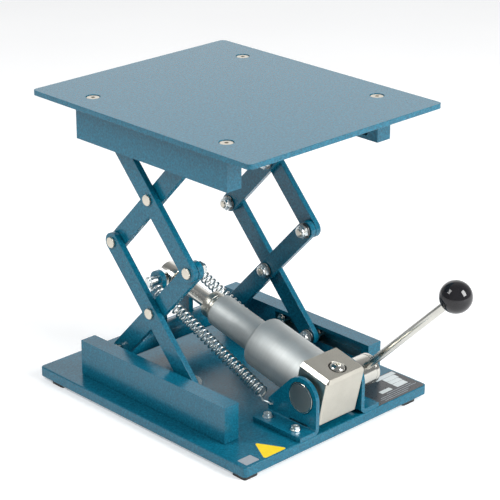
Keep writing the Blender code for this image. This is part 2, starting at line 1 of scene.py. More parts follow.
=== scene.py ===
"""Looks of a hydraulic scissor lab jack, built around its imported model.

Shapes are made in millimetres and scaled as their meshes are written. X runs across the jack, -Y is the lever's
side, Z is up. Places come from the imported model's joints and boxes.
"""

import json
import math

import bmesh
import bpy
from mathutils import Euler, Matrix, Vector


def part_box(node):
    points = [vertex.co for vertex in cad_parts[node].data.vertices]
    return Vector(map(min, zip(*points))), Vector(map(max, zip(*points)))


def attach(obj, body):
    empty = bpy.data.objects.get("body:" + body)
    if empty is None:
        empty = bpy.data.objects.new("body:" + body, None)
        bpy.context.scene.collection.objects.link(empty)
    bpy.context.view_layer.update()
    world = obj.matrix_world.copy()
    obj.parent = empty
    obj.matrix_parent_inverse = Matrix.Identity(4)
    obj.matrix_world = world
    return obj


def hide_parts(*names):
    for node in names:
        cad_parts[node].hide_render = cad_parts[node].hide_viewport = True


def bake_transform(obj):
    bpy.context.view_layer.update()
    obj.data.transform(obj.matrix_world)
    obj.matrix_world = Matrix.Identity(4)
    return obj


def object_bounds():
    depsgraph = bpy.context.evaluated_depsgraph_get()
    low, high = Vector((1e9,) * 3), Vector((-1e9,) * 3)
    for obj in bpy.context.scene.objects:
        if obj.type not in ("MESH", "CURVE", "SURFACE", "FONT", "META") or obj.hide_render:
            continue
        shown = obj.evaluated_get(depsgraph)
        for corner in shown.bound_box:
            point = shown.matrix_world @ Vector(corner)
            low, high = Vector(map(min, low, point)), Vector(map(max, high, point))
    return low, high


MM = 0.001
LEFT, RIGHT = -1, 1
SIDE_NAMES = {LEFT: "left", RIGHT: "right"}

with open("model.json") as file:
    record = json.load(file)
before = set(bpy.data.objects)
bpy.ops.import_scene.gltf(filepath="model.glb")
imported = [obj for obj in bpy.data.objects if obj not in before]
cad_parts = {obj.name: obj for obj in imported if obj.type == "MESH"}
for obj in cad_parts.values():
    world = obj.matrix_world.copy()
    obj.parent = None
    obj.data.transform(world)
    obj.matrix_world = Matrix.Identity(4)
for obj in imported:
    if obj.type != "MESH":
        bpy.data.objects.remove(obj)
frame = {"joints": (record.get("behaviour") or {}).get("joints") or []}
cad_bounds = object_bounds()
JOINTS = {joint["name"]: joint for joint in frame["joints"]}


def joint_mm(name):
    return Vector(JOINTS[name]["pos_m"]) / MM


def box_mm(node):
    low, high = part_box(node)
    return Vector(low) / MM, Vector(high) / MM


def centre_mm(node):
    low, high = box_mm(node)
    return (low + high) / 2.0


# ---------------------------------------------------------------- materials


class Shader:
    """A Principled material and short calls for the nodes that feed it."""

    def __init__(self, name, colour, roughness, metallic=0.0, **sockets):
        self.material = bpy.data.materials.new(name)
        self.material.use_nodes = True
        self.tree = self.material.node_tree
        self.main = self.tree.nodes["Principled BSDF"]
        self.set("Base Color", (*colour, 1.0))
        self.set("Roughness", roughness)
        self.set("Metallic", metallic)
        for socket, value in sockets.items():
            self.set(socket.replace("_", " "), value)
        self.place = self.tree.nodes.new("ShaderNodeTexCoord").outputs["Object"]
        self.normal = None

    def set(self, socket, value):
        self.main.inputs[socket].default_value = value

    def link(self, source, target):
        self.tree.links.new(source, target)

    def stretch(self, x, y, z):
        node = self.tree.nodes.new("ShaderNodeMapping")
        node.inputs["Scale"].default_value = (x, y, z)
        self.link(self.place, node.inputs["Vector"])
        return node.outputs["Vector"]

    def noise(self, scale, detail=2.0, roughness=0.5, vector=None):
        node = self.tree.nodes.new("ShaderNodeTexNoise")
        node.inputs["Scale"].default_value = scale
        node.inputs["Detail"].default_value = detail
        node.inputs["Roughness"].default_value = roughness
        self.link(vector or self.place, node.inputs["Vector"])
        return node.outputs["Fac"]

    def cells(self, scale, feature="F1", output="Distance"):
        node = self.tree.nodes.new("ShaderNodeTexVoronoi")
        node.feature = feature
        node.inputs["Scale"].default_value = scale
        self.link(self.place, node.inputs["Vector"])
        return node.outputs[output]

    def spread(self, value, low, high, to_low=0.0, to_high=1.0):
        node = self.tree.nodes.new("ShaderNodeMapRange")
        settings = (("From Min", low), ("From Max", high), ("To Min", to_low), ("To Max", to_high))
        for socket, number in settings:
            node.inputs[socket].default_value = number
        self.link(value, node.inputs["Value"])
        return node.outputs["Result"]

    def maths(self, operation, a, b):
        node = self.tree.nodes.new("ShaderNodeMath")
        node.operation = operation
        for socket, value in zip(node.inputs, (a, b)):
            if isinstance(value, (int, float)):
                socket.default_value = value
            else:
                self.link(value, socket)
        return node.outputs["Value"]

    def mix(self, factor, first, second):
        """Blends two colours, either of which may be a node's output."""
        node = self.tree.nodes.new("ShaderNodeMix")
        node.data_type = "RGBA"
        self.link(factor, node.inputs["Factor"])
        for socket, value in zip((node.inputs[6], node.inputs[7]), (first, second)):
            if isinstance(value, tuple):
                socket.default_value = (*value, 1.0)
            else:
                self.link(value, socket)
        return node.outputs[2]

    def colour(self, output):
        self.link(output, self.main.inputs["Base Color"])

    def roughness(self, output):
        self.link(output, self.main.inputs["Roughness"])

    def bump(self, height, strength, distance):
        """Adds a bump of the given height in metres on top of any earlier one."""
        node = self.tree.nodes.new("ShaderNodeBump")
        node.inputs["Strength"].default_value = strength
        node.inputs["Distance"].default_value = distance
        self.link(height, node.inputs["Height"])
        if self.normal:
            self.link(self.normal, node.inputs["Normal"])
        self.normal = node.outputs["Normal"]
        self.link(self.normal, self.main.inputs["Normal"])


def hammertone():
    """Blue enamel with a fine hammered grain: dark and saturated itself, under a soft pale gloss."""
    paint = Shader("hammertone_blue", (0.001, 0.102, 0.168), 0.22, 0.0, IOR=1.45)
    cells = paint.cells(620.0)
    grain = paint.noise(680.0, 3.0, 0.7)
    broad = paint.noise(40.0, 2.0)
    tone = paint.maths("ADD", paint.maths("MULTIPLY", cells, 0.35), grain)
    speckle = paint.spread(tone, 0.35, 1.05)
    fine = paint.mix(speckle, (0.0002, 0.040, 0.075), (0.005, 0.190, 0.292))
    drift = paint.mix(paint.spread(broad, 0.3, 0.7), (0.001, 0.096, 0.160), (0.001, 0.108, 0.178))
    blend = paint.tree.nodes.new("ShaderNodeMix")
    blend.data_type = "RGBA"
    blend.inputs["Factor"].default_value = 0.85
    paint.link(drift, blend.inputs[6])
    paint.link(fine, blend.inputs[7])
    paint.colour(blend.outputs[2])
    paint.roughness(paint.spread(speckle, 0.0, 1.0, 0.16, 0.28))
    paint.bump(grain, 0.5, 0.00014)
    return paint.material


def turned_metal(name, colour, roughness, lines, depth, tint=0.06, axis=0):
    """Metal finished on a lathe: fine rings round one of the piece's own axes, and faint patches of tone."""
    metal = Shader(name, colour, roughness, 1.0)
    scales = [12.0, 12.0, 12.0]
    scales[axis] = lines
    rings = metal.noise(1.0, 3.0, 0.65, metal.stretch(*scales))
    patches = metal.noise(60.0, 3.0)
    dark = tuple(c * (1.0 - tint) for c in colour)
    light = tuple(min(1.0, c * (1.0 + tint)) for c in colour)
    metal.colour(metal.mix(metal.spread(patches, 0.3, 0.7), dark, light))
    metal.roughness(metal.spread(rings, 0.25, 0.75, roughness * 0.8, roughness * 1.25))
    metal.bump(rings, 0.25, depth)
    return metal.material


def plated_metal(name, colour, roughness, grain_scale, depth, tint=0.05):
    """Plated or blasted metal with an even fine grain."""
    metal = Shader(name, colour, roughness, 1.0)
    grain = metal.noise(grain_scale, 3.0, 0.6)
    patches = metal.noise(80.0, 3.0)
    dark = tuple(c * (1.0 - tint) for c in colour)
    light = tuple(min(1.0, c * (1.0 + tint)) for c in colour)
    metal.colour(metal.mix(metal.spread(patches, 0.3, 0.7), dark, light))
    metal.roughness(metal.spread(grain, 0.3, 0.7, roughness * 0.85, roughness * 1.2))
    metal.bump(grain, 0.2, depth)
    return metal.material


def zinc_plate():
    """Bright zinc with the faint blue and straw tints of its passivation."""
    zinc = Shader("bright_zinc", (0.70, 0.74, 0.75), 0.30, 1.0)
    patches = zinc.noise(420.0, 3.0)
    grain = zinc.noise(2600.0, 2.0)
    zinc.colour(zinc.mix(zinc.spread(patches, 0.35, 0.65), (0.62, 0.70, 0.74), (0.80, 0.79, 0.74)))
    zinc.roughness(zinc.spread(grain, 0.3, 0.7, 0.24, 0.36))
    zinc.bump(grain, 0.15, 0.00003)
    return zinc.material


def black_ball():
    """Polished phenolic: nearly black, with a thin clear gloss and faint scuffs."""
    ball = Shader("black_phenolic", (0.006, 0.006, 0.008), 0.06, IOR=1.45)
    cloud = ball.noise(90.0, 4.0)
    scuff = ball.noise(700.0, 3.0)
    ball.colour(ball.mix(ball.spread(cloud, 0.3, 0.7), (0.008, 0.008, 0.010), (0.016, 0.015, 0.017)))
    ball.roughness(ball.spread(scuff, 0.3, 0.75, 0.04, 0.10))
    ball.bump(scuff, 0.03, 0.00001)
    return ball.material


def plain(name, colour, roughness, grain_scale, depth, variation=0.15):
    """A printed, moulded or rubber surface with a fine grain and slight change of tone."""
    skin = Shader(name, colour, roughness)
    grain = skin.noise(grain_scale, 3.0)
    dark = tuple(c * (1.0 - variation) for c in colour)
    light = tuple(min(1.0, c * (1.0 + variation)) for c in colour)
    skin.colour(skin.mix(skin.spread(grain, 0.3, 0.7), dark, light))
    skin.roughness(skin.spread(grain, 0.3, 0.7, roughness * 0.85, min(1.0, roughness * 1.15)))
    skin.bump(grain, 0.3, depth)
    return skin.material


PAINT = hammertone()
ALUMINIUM = turned_metal("satin_aluminium", (0.56, 0.58, 0.57), 0.57, 2600.0, 0.00002, axis=0)
STEEL = turned_metal("polished_steel", (0.56, 0.55, 0.51), 0.17, 900.0, 0.0000004, axis=0)
NICKEL = plated_metal("satin_nickel", (0.52, 0.50, 0.44), 0.30, 3000.0, 0.00003)
HEADS = plated_metal("head_nickel", (0.62, 0.58, 0.50), 0.36, 2400.0, 0.00003)
DISC = turned_metal("trunnion_face", (0.36, 0.36, 0.34), 0.42, 3000.0, 0.00002, axis=0)
MILLED = turned_metal("milled_steel", (0.62, 0.63, 0.62), 0.28, 1500.0, 0.00002, axis=2)
DARK_STEEL = plated_metal("dark_washer", (0.16, 0.17, 0.17), 0.30, 2600.0, 0.00003)
ZINC = zinc_plate()
BALL = black_ball()
RUBBER = plain("foot_rubber", (0.018, 0.018, 0.018), 0.72, 900.0, 0.0001)
YELLOW = plain("yellow_film", (0.86, 0.62, 0.012), 0.36, 500.0, 0.00002, 0.05)
GREY_FILM = plain("grey_film", (0.30, 0.33, 0.36), 0.34, 600.0, 0.00002, 0.08)
PLATE_FILM = plain("rating_plate", (0.035, 0.038, 0.042), 0.30, 600.0, 0.00002, 0.12)
FIELD_FILM = plain("plate_field", (0.62, 0.66, 0.66), 0.34, 600.0, 0.00002, 0.05)


# ---------------------------------------------------------------- shapes


def to_mesh(bm, smooth_angle=32.0, merge=False):
    """Turns a bmesh in millimetres into a mesh in metres, smooth except at its sharp edges."""
    if merge:
        bmesh.ops.dissolve_limit(bm, angle_limit=math.radians(0.5), verts=bm.verts, edges=bm.edges)
    bmesh.ops.recalc_face_normals(bm, faces=bm.faces)
    bmesh.ops.scale(bm, vec=(MM, MM, MM), verts=bm.verts)
    mesh = bpy.data.meshes.new("mesh")
    bm.to_mesh(mesh)
    bm.free()
    mesh.shade_smooth()
    mesh.set_sharp_from_angle(angle=math.radians(smooth_angle))
    return mesh


def put(name, mesh, material, body, at=(0.0, 0.0, 0.0), turn=(0.0, 0.0, 0.0), parent=None, stands_for=()):
    """Places a mesh as a piece on a CAD body. A parent matrix, in millimetres, comes before at and turn."""
    piece = bpy.data.objects.new(name, mesh)
    bpy.context.scene.collection.objects.link(piece)
    if not mesh.materials:
        mesh.materials.append(material)
    place = Matrix.Translation(Vector(at)) @ Euler(turn).to_matrix().to_4x4()
    if parent is not None:
        place = parent @ place
    place.translation *= MM
    piece.matrix_world = place
    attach(piece, body)
    if stands_for:
        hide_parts(*stands_for)
    return piece


def soften(piece, width, segments=3, angle=35.0):
    """Rounds a piece's sharp edges."""
    modifier = piece.modifiers.new("soften", "BEVEL")
    modifier.width = width * MM
    modifier.segments = segments
    modifier.limit_method = "ANGLE"
    modifier.angle_limit = math.radians(angle)
    modifier.harden_normals = True
    return piece


def hexagon(flat, angle):
    return flat / math.cos((angle % math.radians(60.0)) - math.radians(30.0))


def turned(rings, sides=64, closed=False, smooth_angle=32.0, ridges=0.0):
    """A solid turned about X from rings of (x, radius), or (x, radius, flat) for the smaller of circle and hexagon."""
    bm = bmesh.new()
    loops = []
    for x, radius, *flat in rings:
        loop = []
        for i in range(sides):
            angle = 2.0 * math.pi * i / sides
            r = min(radius, hexagon(flat[0], angle)) if flat else radius
            r -= ridges * (i % 2) if ridges and not flat else 0.0
            loop.append(bm.verts.new((x, r * math.cos(angle), r * math.sin(angle))))
        loops.append(loop)
    pairs = list(zip(loops, loops[1:]))
    if closed:
        pairs.append((loops[-1], loops[0]))
    for a, b in pairs:
        for i in range(sides):
            j = (i + 1) % sides
            bm.faces.new((a[i], a[j], b[j], b[i]))
    if not closed:
        bm.faces.new(loops[0])
        bm.faces.new(loops[-1])
    return to_mesh(bm, smooth_angle)


def eased(points, size=0.4, steps=3):
    """Rounds the corners of a profile of (x, radius) points; its ends stay."""
    result = [points[0]]
    for before, corner, after in zip(points, points[1:], points[2:]):
        b, c, a = Vector(before), Vector(corner), Vector(after)
        reach = min(size, (b - c).length * 0.45, (a - c).length * 0.45)
        start = c + (b - c).normalized() * reach
        end = c + (a - c).normalized() * reach
        for i in range(steps + 1):
            t = i / steps
            point = start * (1 - t) ** 2 + c * 2 * t * (1 - t) + end * t ** 2
            result.append((point.x, point.y))
    result.append(points[-1])
    return result


def circle(a, b, radius, sides=48):
    steps = [2.0 * math.pi * i / sides for i in range(sides)]
    return [(a + radius * math.cos(s), b + radius * math.sin(s)) for s in steps]


def arc(a, b, radius, start, end, steps):
    angles = [math.radians(start + (end - start) * i / steps) for i in range(steps + 1)]
    return [(a + radius * math.cos(s), b + radius * math.sin(s)) for s in angles]


def rounded_rectangle(a0, a1, b0, b1, radius, steps=6):
    points = arc(a1 - radius, b1 - radius, radius, 0, 90, steps)
    points += arc(a0 + radius, b1 - radius, radius, 90, 180, steps)
    points += arc(a0 + radius, b0 + radius, radius, 180, 270, steps)
    points += arc(a1 - radius, b0 + radius, radius, 270, 360, steps)
    return points


def fill_outline(bm, x, outline, holes=()):
    """Faces in the plane at x, inside an outline in Y and Z and outside its holes. Returns the loops of vertices."""
    loops = []
    edges = []
    for points in (outline, *holes):
        ring = [bm.verts.new((x, y, z)) for y, z in points]
        edges += [bm.edges.new(pair) for pair in zip(ring, ring[1:] + ring[:1])]
        loops.append(ring)
    bmesh.ops.triangle_fill(bm, use_beauty=True, use_dissolve=False, edges=edges)
    return loops


def wall(bm, loop, other):
    """Faces between two loops of as many vertices."""
    faces = []
    for i in range(len(loop)):
        j = (i + 1) % len(loop)
        faces.append(bm.faces.new((loop[i], loop[j], other[j], other[i])))
    return faces


def slab(outline, x0, x1, holes=()):
    """An outline in Y and Z with holes, extruded from x0 to x1."""
    bm = bmesh.new()
    for near, far in zip(fill_outline(bm, x0, outline, holes), fill_outline(bm, x1, outline, holes)):
        wall(bm, near, far)
    return to_mesh(bm, merge=True)


def flat_slab(outline, z0, z1, holes=()):
    """An outline in X and Y, extruded upwards."""
    mesh = slab(outline, z0 * 1.0, z1 * 1.0, holes)
    mesh.transform(Matrix(((0, 1, 0, 0), (0, 0, 1, 0), (1, 0, 0, 0), (0, 0, 0, 1))))
    return mesh


def tube(points, radius, sides=10):
    """A round wire along points, its frame carried along without twist."""
    bm = bmesh.new()
    count = len(points)
    tangents = [(points[min(i + 1, count - 1)] - points[max(i - 1, 0)]).normalized() for i in range(count)]
    side = tangents[0].orthogonal().normalized()
    loops = []
    for point, tangent in zip(points, tangents):
        side = (side - tangent * side.dot(tangent)).normalized()
        other = tangent.cross(side)
        loop = []
        for k in range(sides):
            angle = 2.0 * math.pi * k / sides
            loop.append(bm.verts.new(point + (side * math.cos(angle) + other * math.sin(angle)) * radius))
        loops.append(loop)
    for a, b in zip(loops, loops[1:]):
        wall(bm, a, b)
    bm.faces.new(loops[0])
    bm.faces.new(loops[-1])
    return to_mesh(bm, 60.0)


# ---------------------------------------------------------------- plates, rails and feet

UP = Matrix.Rotation(math.radians(-90.0), 4, "Y")  # lays a turned piece's own X along Z
PLATE_CORNER = {"base_plate": 3.0, "top_plate": 4.0}
SCREWS = [f"platform_screw_{end}_{side}" for end in ("front", "back") for side in ("left", "right")]
SLOT_FLOOR = 10.2
SLOT_RADIUS = 0.8
LOWER_WALL = 1.0  # faces whose middle is this near the slot's low edge are its lower wall


def make_plates():
    low, high = box_mm("base_plate")
    outline = rounded_rectangle(low.x, high.x, low.y, high.y, PLATE_CORNER["base_plate"])
    plate = put("base", flat_slab(outline, low.z, high.z), PAINT, "base", stands_for=["base_plate"])
    soften(plate, 0.9, 4)
    low, high = box_mm("top_plate")
    outline = rounded_rectangle(low.x, high.x, low.y, high.y, PLATE_CORNER["top_plate"])
    holes = [circle(centre_mm(s).x, centre_mm(s).y, 5.5) for s in SCREWS]
    mesh = flat_slab(outline, low.z, high.z, holes)
    soften(put("platform_top", mesh, PAINT, "platform", stands_for=["top_plate"]), 0.4, 3)


def make_platform_screws():
    """Flat socket heads, set a little below the plate's face."""
    for node in SCREWS:
        low, high = box_mm(node)
        radius = 5.05
        top = high.z - low.z - 0.15
        rings = eased([(0.0, 3.0), (top - 3.0, 3.0), (top - 3.0, radius), (top, radius), (top, 2.2)], 0.35)
        rings += [(top, 1.75, 1.5), (top - 2.4, 1.75, 1.5)]
        centre = centre_mm(node)
        put("screw_" + node, turned(rings, 48), HEADS, "platform",
            parent=Matrix.Translation((centre.x, centre.y, low.z)) @ UP, stands_for=[node])


def rail_mesh(low, high, slot, side):
    """A bar with a closed slot in its inner face. The slot's lower wall is left bare and the rest is painted."""
    inner, outer = (low.x, high.x) if side == RIGHT else (high.x, low.x)
    floor = inner + side * SLOT_FLOOR
    bm = bmesh.new()
    edge = [(low.y, low.z), (high.y, low.z), (high.y, high.z), (low.y, high.z)]
    pocket = rounded_rectangle(*slot, SLOT_RADIUS, 4)
    mouth, hole = fill_outline(bm, inner, edge, [pocket])
    back = fill_outline(bm, outer, edge)[0]
    wall(bm, mouth, back)
    bottom = fill_outline(bm, floor, pocket)[0]
    walls = wall(bm, hole, bottom)
    for face in walls:
        if face.calc_center_median().z < slot[2] + LOWER_WALL:
            face.material_index = 1
    mesh = to_mesh(bm)
    mesh.materials.append(PAINT)
    mesh.materials.append(MILLED)
    return mesh


def make_rails():
    """Base rails have their slot near the top edge, platform rails near the bottom one."""
    for level, body, axle in (("base", "base", "lift"), ("platform", "platform", "platform_level")):
        pivot = joint_mm(axle)
        slot = (pivot.y - 137.0, pivot.y - 41.0, pivot.z - 5.4, pivot.z + 5.4)
        for side in (LEFT, RIGHT):
            node = f"{level}_rail_{SIDE_NAMES[side]}"
            low, high = box_mm(node)
            mesh = rail_mesh(low, high, slot, side)
            soften(put("guide_" + node, mesh, PAINT, body, stands_for=[node]), 0.7, 3)


def make_feet():
    """Stick-on rubber pads."""
    for corner in ("front_left", "front_right", "back_left", "back_right"):
        node = f"foot_{corner}"
        low, high = box_mm(node)
        mesh = flat_slab(rounded_rectangle(low.x, high.x, low.y, high.y, 2.0), low.z, high.z + 0.2)
        soften(put("pad_" + node, mesh, RUBBER, "base", stands_for=[node]), 0.4, 3)


# ---------------------------------------------------------------- scissor

LAYERS = {"outer": 65.5, "inner": 60.0}  # middle of each layer of arms
ARM_T, ARM_W = 5.0, 15.0
ARMS = (
    ("lower_inner", "inner", "lift", "front_knuckle"),
    ("lower_outer", "outer", "base_roller_right_spin", "back_knuckle"),
    ("upper_outer", "outer", "front_knuckle", "platform_level"),
    ("upper_inner", "inner", "back_knuckle", "platform_roller_right_spin"),
)
NUT_FLAT = 5.0


def make_arms():
    """Each arm runs between the two joints at its ends."""
    for body, layer, first, last in ARMS:
        start, end = joint_mm(first), joint_mm(last)
        run = Vector((0.0, end.y - start.y, end.z - start.z))
        half = run.length / 2.0
        tilt = math.atan2(run.z, run.y)
        middle = (start + end) / 2.0
        r = ARM_W / 2.0
        outline = arc(half, 0.0, r, -90, 90, 16) + arc(-half, 0.0, r, 90, 270, 16)
        holes = [circle(y, 0.0, 3.25, 32) for y in (-half, 0.0, half)]
        mesh = slab(outline, -ARM_T / 2.0, ARM_T / 2.0, holes)
        for side in (LEFT, RIGHT):
            name = f"{body}_arm_{SIDE_NAMES[side]}"
            place = (side * LAYERS[layer], middle.y, middle.z)
            arm = put("bar_" + name, mesh, PAINT, body, place, (tilt, 0.0, 0.0), stands_for=[name])
            soften(arm, 0.45, 3)


def nut_mesh():
    """A lock nut: chamfered hexagon with a rounded collar, its seat at x 0 and its collar towards -x."""
    corner = NUT_FLAT / math.cos(math.radians(30.0))
    hexed = [(0.0, 4.75, NUT_FLAT), (-0.45, corner, NUT_FLAT), (-3.1, corner, NUT_FLAT), (-3.7, 4.7, NUT_FLAT)]
    collar = eased([(-3.7, 4.7), (-3.7, 4.35), (-5.0, 4.25), (-5.2, 3.1)], 0.6, 4)
    return turned([(0.0, 3.1)] + hexed + collar, 60, closed=True, smooth_angle=22.0)


def washer_mesh(radius=6.2, thickness=1.0):
    rings = eased([(0.0, 3.2), (0.0, radius), (-thickness, radius), (-thickness, 3.2)], 0.25)
    return turned(rings, 64, closed=True)


def threaded(x0, x1, radius=3.0, pitch=1.0):
    """Rings of a thread's crests and roots from x0 down to x1."""
    count = max(2, int(round(abs(x1 - x0) / pitch * 2)))
    rings = []
    for i in range(count + 1):
        x = x0 + (x1 - x0) * i / count
        rings.append((x, radius - 0.28 * (i % 2)))
    return rings


def head_mesh(inner_end, outer_face, thickness=1.5, radius=4.4):
    """A pivot bolt: threaded inner end, plain shank and a thin flat head with a fluted rim."""
    rings = [(inner_end, 2.2), (inner_end + 0.5, 2.75)]
    rings += threaded(inner_end + 0.8, inner_end + 6.0)
    rings += [(inner_end + 6.5, 3.0), (outer_face, 3.0)]
    return turned(rings, 48), rim_mesh(outer_face, thickness, radius)


def rim_mesh(face, thickness, radius):
    rings = eased([(face, 3.0), (face, radius), (face + thickness, radius), (face + thickness, 0.3)], 0.28)
    return turned(rings, 40, smooth_angle=30.0, ridges=0.4)


def mirrored(side):
    """A turned piece is made for the right side, and turned half round about Z for the left."""
    return Matrix.Rotation(0.0 if side == RIGHT else math.pi, 4, "Z")


def place_on(side, pivot):
    return Matrix.Translation((0.0, pivot.y, pivot.z)) @ mirrored(side)


def make_nut_and_washer(name, body, side, pivot, seat):
    spot = place_on(side, pivot) @ Matrix.Translation((seat, 0.0, 0.0))
    put(name + "_washer", WASHER, DARK_STEEL, body, parent=spot)
    spin = Matrix.Rotation(math.radians(17.0 * side), 4, "X")
    put(name + "_nut", NUT, ZINC, body, parent=spot @ Matrix.Translation((-1.0, 0.0, 0.0)) @ spin)


def make_scissor_bolts():
    spots = (
        ("lower_centre", "lower_outer", joint_mm("lower_cross")),
        ("back_knuckle", "lower_outer", joint_mm("back_knuckle")),
        ("front_knuckle", "upper_outer", joint_mm("front_knuckle")),
        ("upper_centre", "upper_outer", (joint_mm("front_knuckle") + joint_mm("platform_level")) / 2.0),
    )
    shank, rim = head_mesh(50.0, 68.3)
    for name, body, pivot in spots:
        for side in (LEFT, RIGHT):
            label = f"{name}_{SIDE_NAMES[side]}"
            spot = place_on(side, pivot)
            put(label + "_shank", shank, HEADS, body, parent=spot, stands_for=[f"{name}_bolt_{SIDE_NAMES[side]}"])
            put(label + "_head", rim, HEADS, body, parent=spot)
            make_nut_and_washer(label, body, side, pivot, 57.2)


def axle_mesh(inner_end, spacer, spacer_end, spacer_r, end, cap):
    """A rail pivot or roller axle: threaded end, spacer against the arm, and a journal with an optional cap."""
    rings = [(inner_end, 2.2), (inner_end + 0.5, 2.75)] + threaded(inner_end + 0.8, inner_end + 6.0)
    rings += [(inner_end + 6.5, 3.0), (spacer, 3.0), (spacer, spacer_r), (spacer_end, spacer_r), (spacer_end, 3.0)]
    if cap:
        rings += [(end - 1.0, 3.0), (end - 1.0, 4.2), (end, 4.2), (end, 0.4)]
    else:
        rings += [(end, 3.0), (end, 0.4)]
    return turned(eased(rings, 0.2, 2), 48)


def roller_mesh(low, high, radius):
    rings = [(low, 3.3), (low, 4.1), (low + 0.35, 4.3), (low + 0.35, radius), (high - 0.35, radius)]
    rings += [(high - 0.35, 4.3), (high, 4.1), (high, 3.3)]
    return turned(eased(rings, 0.3), 64, closed=True)


def make_axles():
    """Fixed pivots at the back and rolling axles at the front, at both levels."""
    arm_seats = {"inner": 57.5, "outer": 63.0}
    tapped = "base_pivot_bolt"  # its thread ends in the yoke's bar, not in a nut
    spots = (
        (tapped, "base", "lift", "inner", 4.8, False),
        ("platform_pivot_bolt", "platform", "platform_level", "outer", 4.8, False),
        ("base_roller_axle", "lower_outer", "base_roller_right_spin", "outer", 4.2, True),
        ("platform_roller_axle", "upper_inner", "platform_roller_right_spin", "inner", 4.2, True),
    )
    for name, body, axis, layer, spacer_r, rolling in spots:
        face = arm_seats[layer]
        spacer_end = 71.9 if rolling else 70.7
        end = 80.3 if rolling else 80.0
        reach = 16.0 if name == tapped else 7.5
        mesh = axle_mesh(face - reach, face + 5.3, spacer_end, spacer_r, end, rolling)
        pivot = joint_mm(axis)
        for side in (LEFT, RIGHT):
            label = f"{name}_{SIDE_NAMES[side]}"
            put("pin_" + label, mesh, STEEL, body, parent=place_on(side, pivot), stands_for=[label])
            if name != tapped:
                make_nut_and_washer(label, body, side, pivot, face - 0.3)


def make_rollers():
    for short in ("base_roller", "platform_roller"):
        for side in (LEFT, RIGHT):
            node = f"{short}_{SIDE_NAMES[side]}"
            low, high = box_mm(node)
            centre = centre_mm(node)
            half = (high.x - low.x) / 2.0
            body = f"{short}_{SIDE_NAMES[side][0]}"
            put("wheel_" + node, roller_mesh(-half, half, (high.z - low.z) / 2.0), STEEL, body,
                tuple(centre), stands_for=[node])


def make_travel_stops():
    for side in (LEFT, RIGHT):
        node = f"travel_stop_{SIDE_NAMES[side]}"
        low, high = box_mm(node)
        centre = centre_mm(node)
        half = (high.x - low.x) / 2.0
        rings = eased([(-half, 1.4), (-half + 0.9, 1.6), (-half, 3.6), (-half + 0.3, 4.35), (half, 4.35)], 0.3)
        put("stop_" + node, turned(rings, 48), STEEL, "base",
            parent=Matrix.Translation(centre) @ mirrored(side), stands_for=[node])


# ---------------------------------------------------------------- yoke and brackets


def make_yoke():
    """A round bar on the back pivots' axis, and two upright ears of flat bar welded to it."""
    pivot = joint_mm("lift")
    pin = centre_mm("yoke_pin")
    radius = 9.0
    rings = [(-39.5, 3.25), (-57.2, 3.25), (-57.2, radius), (57.2, radius), (57.2, 3.25), (39.5, 3.25)]
    put("yoke_bar", turned(eased(rings, 0.5), 72), PAINT, "lower_inner", (0.0, pivot.y, pivot.z),
        stands_for=["yoke"])
    ear = arc(pin.y, pin.z, 7.4, 0, 180, 32) + [(pin.y - 7.4, pivot.z - 4.0), (pin.y + 7.4, pivot.z - 4.0)]
    for side in (LEFT, RIGHT):
        x0, x1 = sorted((side * 11.8, side * 16.6))
        mesh = slab(ear, x0, x1, [circle(pin.y, pin.z, 3.6)])
        soften(put(f"yoke_ear_{SIDE_NAMES[side]}", mesh, PAINT, "lower_inner"), 0.6, 3)
        bead = []
        for i in range(49):
            angle = 2.0 * math.pi * i / 48
            bead.append(Vector((side * 17.0, pivot.y + 9.2 * math.cos(angle), pivot.z + 9.2 * math.sin(angle))))
        weld = [p for p in bead if pin.y - 7.6 < p.y < pin.y + 7.6 and p.z > pivot.z - 3.0]
        put(f"yoke_weld_{SIDE_NAMES[side]}", tube(weld, 1.1), PAINT, "lower_inner")
    low, high = box_mm("yoke_pin")
    half = (high.x - low.x) / 2.0
    profile = [(-half, 0.4), (-half, 3.5), (-24.4, 3.5), (-24.4, 3.0), (-23.0, 3.0), (-23.0, 3.5)]
    profile += [(-x, r) for x, r in reversed(profile)]
    put("yoke_cross_pin", turned(eased(profile, 0.4), 48), ZINC, "lower_inner", tuple(pin), stands_for=["yoke_pin"])


BRACKET_T = 3.5
BRACKET_BEND = 1.6  # inner radius of the fold
FOLD_STEPS = 8
BLANK_FOOT = 20.0  # stands for the foot's edge until the blank is folded


def bracket_outline(pivot, low, high):
    """The bracket's blank, laid flat: Y along the fold, and height up the wall or, below zero, out along the foot."""
    r = pivot.y - low.y
    base = low.z
    heel = Vector((high.y, 25.0 - base))
    top = Vector((pivot.y, pivot.z - base))
    reach = heel - top
    slope = math.degrees(math.atan2(reach.y, reach.x) + math.acos(r / reach.length))
    points = [(low.y, -BLANK_FOOT), (high.y, -BLANK_FOOT), (high.y, heel.y)]
    return points + arc(top.x, top.y, r, slope, 180.0, 28)


def fold_point(y, height, depth, side, low, high):
    """Takes a point of the blank to its place: the wall stands at the inner side and the foot runs outwards."""
    inner = low.x if side == RIGHT else -high.x
    radius = BRACKET_BEND + BRACKET_T
    bend_top = radius
    if height >= bend_top:
        x, z = inner + depth, height
    else:
        angle = min((bend_top - height) / (radius * 0.9), math.pi / 2.0)
        r = radius - depth
        x = inner + radius - r * math.cos(angle)
        z = radius - r * math.sin(angle)
        past = (bend_top - height) - radius * 0.9 * math.pi / 2.0
        if past > 0.0:
            x += past
    return Vector((side * x, y, low.z + z))


